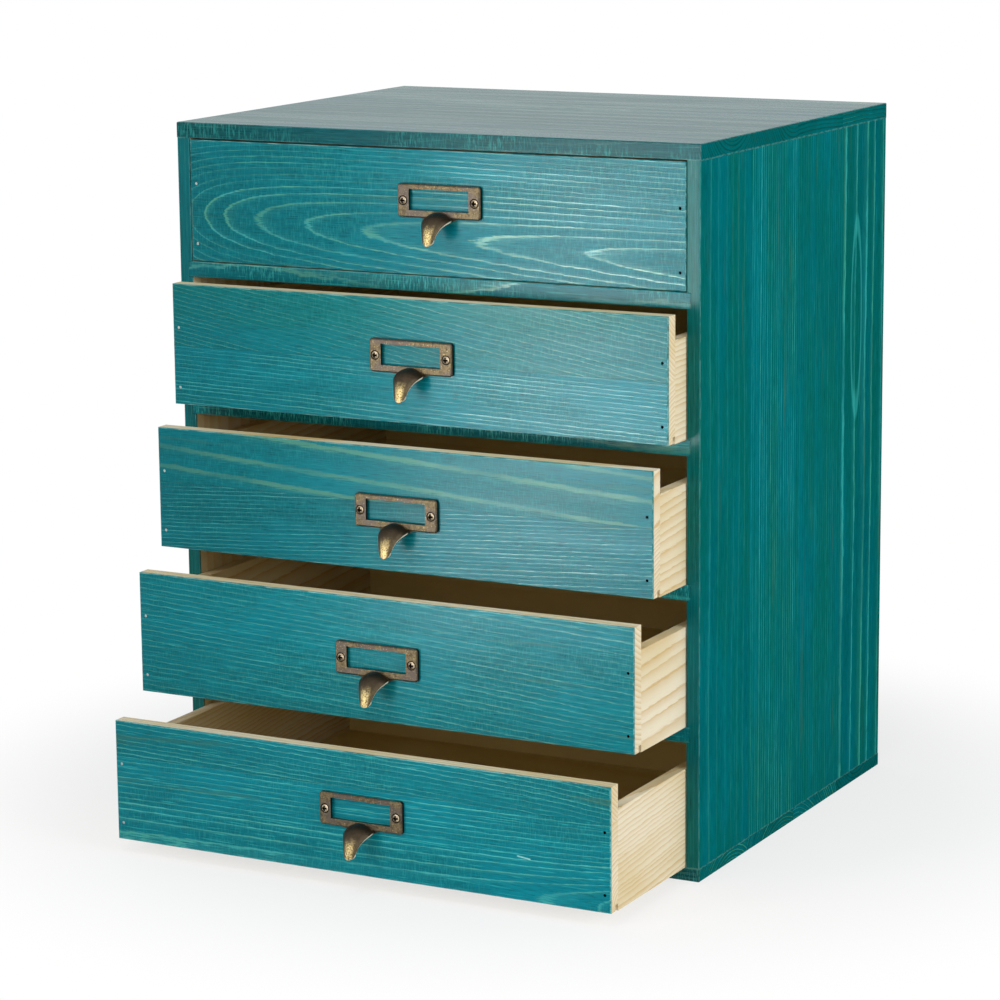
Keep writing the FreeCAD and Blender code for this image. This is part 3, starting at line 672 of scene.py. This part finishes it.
def dress_drawer(number):
    """Give a drawer's front its stained wood, and its sides, back and bottom bare pine."""
    dress_front(number)
    prefix = f"drawer_{number}_"
    for side in ("left_side", "right_side"):
        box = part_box(prefix + side)
        board = Board("Y", "Z", "X", pith_across=box[0].z * MM - 30.0, pith_deep=box[0].x * MM - 30.0,
                      slope_across=0.06, ring=SIDE_RINGS[number - 1], seed=70.0 + number, wander=0.6)
        dress(prefix + side, make_wood(prefix + side, box, board))
    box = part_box(prefix + "back")
    board = Board("X", "Z", "Y", pith_across=box[0].z * MM + 10.0, pith_deep=box[1].y * MM + 30.0, ring=2.6,
                  seed=80.0 + number)
    dress(prefix + "back", make_wood(prefix + "back", box, board, bare_tone=INSIDE_LIGHT_TONE,
                                     bounce_tint=INSIDE_BOUNCE_TINT))
    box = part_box(prefix + "bottom")
    board = Board("X", "Y", "Z", pith_deep=box[0].z * MM - 80.0, ring=4.5, seed=90.0 + number)
    dress(prefix + "bottom", make_wood(prefix + "bottom", box, board, bare_tone=INSIDE_LIGHT_TONE,
                                       bounce_tint=INSIDE_BOUNCE_TINT))


# =============================================================================================
# Metal
# =============================================================================================
BRONZE_BLACK = srgb(22, 16, 12)
BRONZE_DARK = srgb(52, 42, 28)
BRONZE_MID = srgb(67, 58, 43)
BRONZE_PALE = srgb(105, 92, 67)
BRONZE_ROSE = srgb(84, 75, 66)
BRONZE_GOLD = srgb(202, 180, 124)
BRONZE_RIM_HIGHLIGHT = srgb(240, 230, 204)
SCREW_DULL = srgb(150, 132, 106)
SCREW_BRIGHT = srgb(222, 206, 176)
NAIL_DULL = srgb(120, 134, 134)
NAIL_BRIGHT = srgb(206, 216, 212)
NAIL_HOLE_SHADE = srgb(0, 6, 6)
# In millimetres: radius of the dark ring round a screw's head, and half the width and the reach of its cross.
SCREW_RING = 2.05
SCREW_CROSS_WIDTH = 0.56
SCREW_CROSS_REACH = 1.45
# How metallic the bronze and the screws are, and the nails, where they are not painted dark.
METAL_SHARE = 0.8
NAIL_SHARE = 0.6
# Specular level of the metal, and roughness where it is painted dark.
METAL_GLOSS = 0.5
DARK_MARK_ROUGH = 0.9
# Strength and depth, in metres, of the casting's pits.
CAST_BUMP = 0.8
CAST_RELIEF = 0.0003


def screw_masks(graph, x, z, number):
    """Masks of the painted shade in the two screw heads' cross slots and of the dark ring round the heads."""
    slot_shade = 0.0
    head_ring = 0.0
    for side in ("left", "right"):
        low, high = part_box(f"drawer_{number}_pull_screw_{side}")
        dx = graph.math("ABSOLUTE", graph.sub(x, (low.x + high.x) / 2 * MM))
        dz = graph.math("ABSOLUTE", graph.sub(z, (low.z + high.z) / 2 * MM))
        radius = graph.math("SQRT", graph.add(graph.mul(dx, dx), graph.mul(dz, dz)))
        # Painted shade: the cross slot drawn black where its recess lies.
        one_slot_shade = graph.step(graph.low(dx, dz), SCREW_CROSS_WIDTH * 0.8, SCREW_CROSS_WIDTH * 1.2, 1.0, 0.0)
        one_slot_shade = graph.mul(one_slot_shade, graph.step(radius, SCREW_CROSS_REACH * 0.9, SCREW_CROSS_REACH, 1.0, 0.0))
        slot_shade = graph.high(slot_shade, one_slot_shade)
        offset = graph.math("ABSOLUTE", graph.sub(radius, SCREW_RING))
        head_ring = graph.high(head_ring, graph.step(offset, 0.3, 0.6, 1.0, 0.0))
    return slot_shade, head_ring


def plate_color(graph, place, mottle, fine):
    """Colour of the holder's flat frame: mottled brown with rosy patches and rubbed specks."""
    color = graph.mix(graph.step(mottle, 0.35, 0.62), BRONZE_MID, BRONZE_PALE)
    patches = graph.noise(graph.scaled(place, 0.1, 0.1, 0.1), 1.0)
    color = graph.mix(graph.step(patches, 0.45, 0.6), color, BRONZE_ROSE)
    return graph.mix(graph.mul(graph.step(fine, 0.58, 0.75), 0.6), color, BRONZE_GOLD)


def tongue_color(graph, height, fine):
    """Colour of the tongue by its height above the tip, and the mask of its pale rim, a painted highlight."""
    turned_x, turned_y, turned_z = graph.split(graph.node("ShaderNodeNewGeometry").outputs["Normal"])
    flank = graph.step(graph.math("ABSOLUTE", turned_x), 0.25, 0.75)
    # Dark at the root: partly patina, partly painted shade.
    color = graph.mix(graph.step(height, 18.0, 12.0), BRONZE_BLACK, BRONZE_DARK)
    color = graph.mix(graph.step(height, 14.0, 7.0), color, BRONZE_MID)
    # Gold on the crown: partly rubbed bronze, partly a painted highlight that fades on the flanks.
    crown = graph.mul(graph.step(height, 11.0, 5.0), graph.step(flank, 0.0, 0.6, 1.0, 0.1))
    gold = graph.mul(crown, graph.step(fine, 0.38, 0.56, 0.15, 1.0))
    color = graph.mix(gold, color, BRONZE_GOLD)
    # Painted highlight: a pale rim on the edges that face right.
    rim_highlight = graph.mul(graph.step(turned_x, 0.4, 0.7), graph.step(graph.sub(turned_y, turned_z), 0.0, 0.25))
    return graph.mix(rim_highlight, color, BRONZE_RIM_HIGHLIGHT), rim_highlight


def make_bronze(number):
    """Cast bronze: patina and painted shade in hollows; crown rubbed gold and painted highlight; painted rim
    highlight.
    """
    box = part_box(f"drawer_{number}_label_pull")
    material, graph, shader, place = new_material(f"drawer_{number}_bronze")
    x, y, z = graph.split(place)
    mottle = graph.noise(graph.scaled(place, 0.55, 0.55, 0.55), 4.0, 0.7)
    fine = graph.noise(graph.scaled(place, 1.5, 1.5, 1.5), 2.0, 0.6)
    # Distance out from the front board, and height above the tip of the tongue.
    proud = graph.sub(box[1].y * MM, y)
    drop = graph.sub(z, box[0].z * MM)
    # Black near the wood, on the plate's sides and in its window: partly patina, partly painted contact
    # shade.
    face = graph.step(proud, 1.3, 2.3)
    color = graph.mix(face, BRONZE_BLACK, plate_color(graph, place, mottle, fine))
    _, head_ring = screw_masks(graph, x, z, number)
    color = graph.mix(head_ring, color, BRONZE_BLACK)
    hook = graph.step(proud, 2.5, 3.4)
    height = graph.add(drop, graph.mul(graph.sub(mottle, 0.5), 5.0))
    tongue, rim_highlight = tongue_color(graph, height, fine)
    color = graph.mix(hook, color, tongue)
    # The painted rim highlight is not metallic.
    hook_rim_highlight = graph.mul(hook, rim_highlight)
    graph.plug(shader.inputs["Metallic"], graph.blend(graph.high(head_ring, hook_rim_highlight), METAL_SHARE, 0.0))
    graph.plug(shader.inputs["Specular IOR Level"], graph.blend(head_ring, METAL_GLOSS, 0.0))
    graph.plug(shader.inputs["Base Color"], color)
    graph.plug(shader.inputs["Roughness"], graph.add(0.26, graph.mul(mottle, 0.3)))
    pits = graph.add(mottle, graph.mul(fine, 0.6))
    graph.plug(shader.inputs["Normal"], graph.bump(pits, CAST_BUMP, CAST_RELIEF))
    return material


def make_screw_metal(number):
    """Plated steel of a drawer's two screws, with painted shade in their cross slots."""
    material, graph, shader, place = new_material(f"drawer_{number}_screw_metal")
    x, _, z = graph.split(place)
    mottle = graph.noise(graph.scaled(place, 1.2, 1.2, 1.2), 3.0, 0.6)
    color = graph.mix(graph.step(mottle, 0.35, 0.65), SCREW_DULL, SCREW_BRIGHT)
    slot_shade, _ = screw_masks(graph, x, z, number)
    color = graph.mix(slot_shade, color, BRONZE_BLACK)
    graph.plug(shader.inputs["Metallic"], graph.blend(slot_shade, METAL_SHARE, 0.0))
    graph.plug(shader.inputs["Specular IOR Level"], graph.blend(slot_shade, METAL_GLOSS, 0.0))
    graph.plug(shader.inputs["Base Color"], color)
    rough = graph.add(0.28, graph.mul(mottle, 0.25))
    graph.plug(shader.inputs["Roughness"], graph.blend(slot_shade, rough, DARK_MARK_ROUGH))
    return material


def make_nail_steel():
    """Steel of the nails, bright on the cabinet's left half and painted black as shade on its right half."""
    material, graph, shader, place = new_material("nail_steel")
    mottle = graph.noise(graph.scaled(place, 2.0, 2.0, 2.0), 3.0, 0.6)
    color = graph.mix(mottle, NAIL_DULL, NAIL_BRIGHT)
    x, _, _ = graph.split(place)
    # Painted shade: the nail heads on the right half black, as holes in shadow.
    hole_shade = graph.step(x, -1.0, 1.0)
    color = graph.mix(hole_shade, color, NAIL_HOLE_SHADE)
    graph.plug(shader.inputs["Metallic"], graph.blend(hole_shade, NAIL_SHARE, 0.0))
    graph.plug(shader.inputs["Specular IOR Level"], graph.blend(hole_shade, METAL_GLOSS, 0.0))
    graph.plug(shader.inputs["Base Color"], color)
    rough = graph.add(0.3, graph.mul(mottle, 0.3))
    graph.plug(shader.inputs["Roughness"], graph.blend(hole_shade, rough, DARK_MARK_ROUGH))
    return material


def dress_hardware():
    """Give each drawer's label holder, screws and nails their metal."""
    nail_steel = make_nail_steel()
    for number in DRAWERS:
        prefix = f"drawer_{number}_"
        screw_metal = make_screw_metal(number)
        dress(prefix + "label_pull", make_bronze(number))
        dress(prefix + "pull_screw_left", screw_metal)
        dress(prefix + "pull_screw_right", screw_metal)
        dress(prefix + "nails", nail_steel)


# =============================================================================================
# Stage, lights and camera
# =============================================================================================
FLOOR_REACH = 12.0
FLOOR_GREY = 0.9
FLOOR_ROUGH = 0.9
# How much of the floor's look is plain background near the cabinet, and how far from the cabinet's middle it
# starts to rise to all of it and gets there.
FADE_NEAR = 0.7
FADE_START = 0.2
FADE_END = 0.38
# How bright the studio's walls are as a light. As a background they are white.
AMBIENT = 0.34


def add_floor():
    """Pale seamless floor that keeps the shadow near the cabinet and runs into the white background."""
    mesh = bpy.data.meshes.new("floor")
    reach = FLOOR_REACH
    corners = [(-reach, -reach, 0), (reach, -reach, 0), (reach, reach, 0), (-reach, reach, 0)]
    mesh.from_pydata(corners, [], [(0, 1, 2, 3)])
    floor = bpy.data.objects.new("floor", mesh)
    bpy.context.scene.collection.objects.link(floor)
    material, graph, shader, place = new_material("floor")
    graph.plug(shader.inputs["Base Color"], (FLOOR_GREY, FLOOR_GREY, FLOOR_GREY))
    graph.plug(shader.inputs["Roughness"], FLOOR_ROUGH)
    graph.plug(shader.inputs["Specular IOR Level"], 0.0)
    x, y, _ = graph.split(place)
    distance = graph.math("SQRT", graph.add(graph.mul(x, x), graph.mul(y, y)))
    fade = graph.step(distance, FADE_START * MM, FADE_END * MM, FADE_NEAR, 1.0)
    share = graph.mul(fade, graph.background_rays())
    white = graph.node("ShaderNodeEmission")
    mixed = graph.node("ShaderNodeMixShader")
    graph.plug(mixed.inputs[0], share)
    graph.tree.links.new(shader.outputs[0], mixed.inputs[1])
    graph.tree.links.new(white.outputs[0], mixed.inputs[2])
    graph.tree.links.new(mixed.outputs[0], material.node_tree.nodes["Material Output"].inputs["Surface"])
    mesh.materials.append(material)


def add_world():
    """White surroundings that light the cabinet evenly and only weakly."""
    world = bpy.data.worlds.new("studio")
    bpy.context.scene.world = world
    world.use_nodes = True
    graph = Graph(world.node_tree)
    background = world.node_tree.nodes["Background"]
    graph.plug(background.inputs["Color"], (1.0, 1.0, 1.0))
    graph.plug(background.inputs["Strength"], graph.blend(graph.background_rays(), AMBIENT, 1.0))


def add_softbox(name, place, target, width, height, radiance, beam=180.0):
    """Rectangular light of the given radiance, where a white card at full level has a radiance of 1.

    A beam under 180 degrees is that of a honeycomb grid in front of it.
    """
    data = bpy.data.lights.new(name, "AREA")
    data.shape = "RECTANGLE"
    data.size = width
    data.size_y = height
    data.energy = radiance * math.pi * width * height
    if beam < 180.0:
        data.spread = math.radians(beam)
        half = data.spread / 2
        data.energy *= 1.0 - half / math.tan(half)
    light = bpy.data.objects.new(name, data)
    light.location = place
    light.rotation_euler = (Vector(target) - Vector(place)).to_track_quat("-Z", "Y").to_euler()
    light.visible_camera = False
    bpy.context.scene.collection.objects.link(light)


def add_lights():
    """A gridded key light close to the fronts, and wide soft boxes from the front, above and the right."""
    add_softbox("key", (-0.183, -0.7, 0.186), (0.096, -0.17, 0.308), 0.17, 0.355, 21.0, 50.0)
    add_softbox("main", (-1.3, -2.3, 1.5), (0.0, -0.1, 0.2), 0.8, 0.8, 6.8)
    add_softbox("top", (0.1, -1.3, 2.4), (0.0, -0.15, 0.2), 0.9, 0.9, 4.0)
    add_softbox("front", (1.2, -2.5, 1.3), (0.0, -0.1, 0.2), 1.2, 1.2, 0.8)
    add_softbox("side", (2.3, -0.5, 1.0), (0.0, 0.0, 0.2), 1.3, 1.3, 5.8)


# The camera as solved from the cabinet's corners: its place, its own right and up, and its lens and sensor
# in millimetres.
CAMERA_PLACE = Vector((0.85146, -1.66115, 0.54065))
CAMERA_RIGHT = Vector((0.885196, 0.465135, -0.008804))
CAMERA_UP = Vector((-0.084951, 0.180219, 0.979951))
CAMERA_LENS = 126.13
SENSOR_WIDTH = 36.0


def add_camera():
    """The camera at the solved place, turned by its own right and up."""
    data = bpy.data.cameras.new("camera")
    data.lens = CAMERA_LENS
    data.sensor_fit = "HORIZONTAL"
    data.sensor_width = SENSOR_WIDTH
    data.clip_end = 100.0
    camera = bpy.data.objects.new("camera", data)
    right = CAMERA_RIGHT.normalized()
    back = right.cross(CAMERA_UP).normalized()
    up = back.cross(right)
    turn = Matrix((right, up, back)).transposed().to_4x4()
    camera.matrix_world = Matrix.Translation(CAMERA_PLACE) @ turn
    bpy.context.scene.collection.objects.link(camera)
    bpy.context.scene.camera = camera


# =============================================================================================
# Build
# =============================================================================================
dress_carcass()
for drawer in DRAWERS:
    dress_drawer(drawer)
dress_hardware()
add_floor()
add_world()
add_lights()
add_camera()
bpy.context.scene.view_settings.view_transform = "Standard"
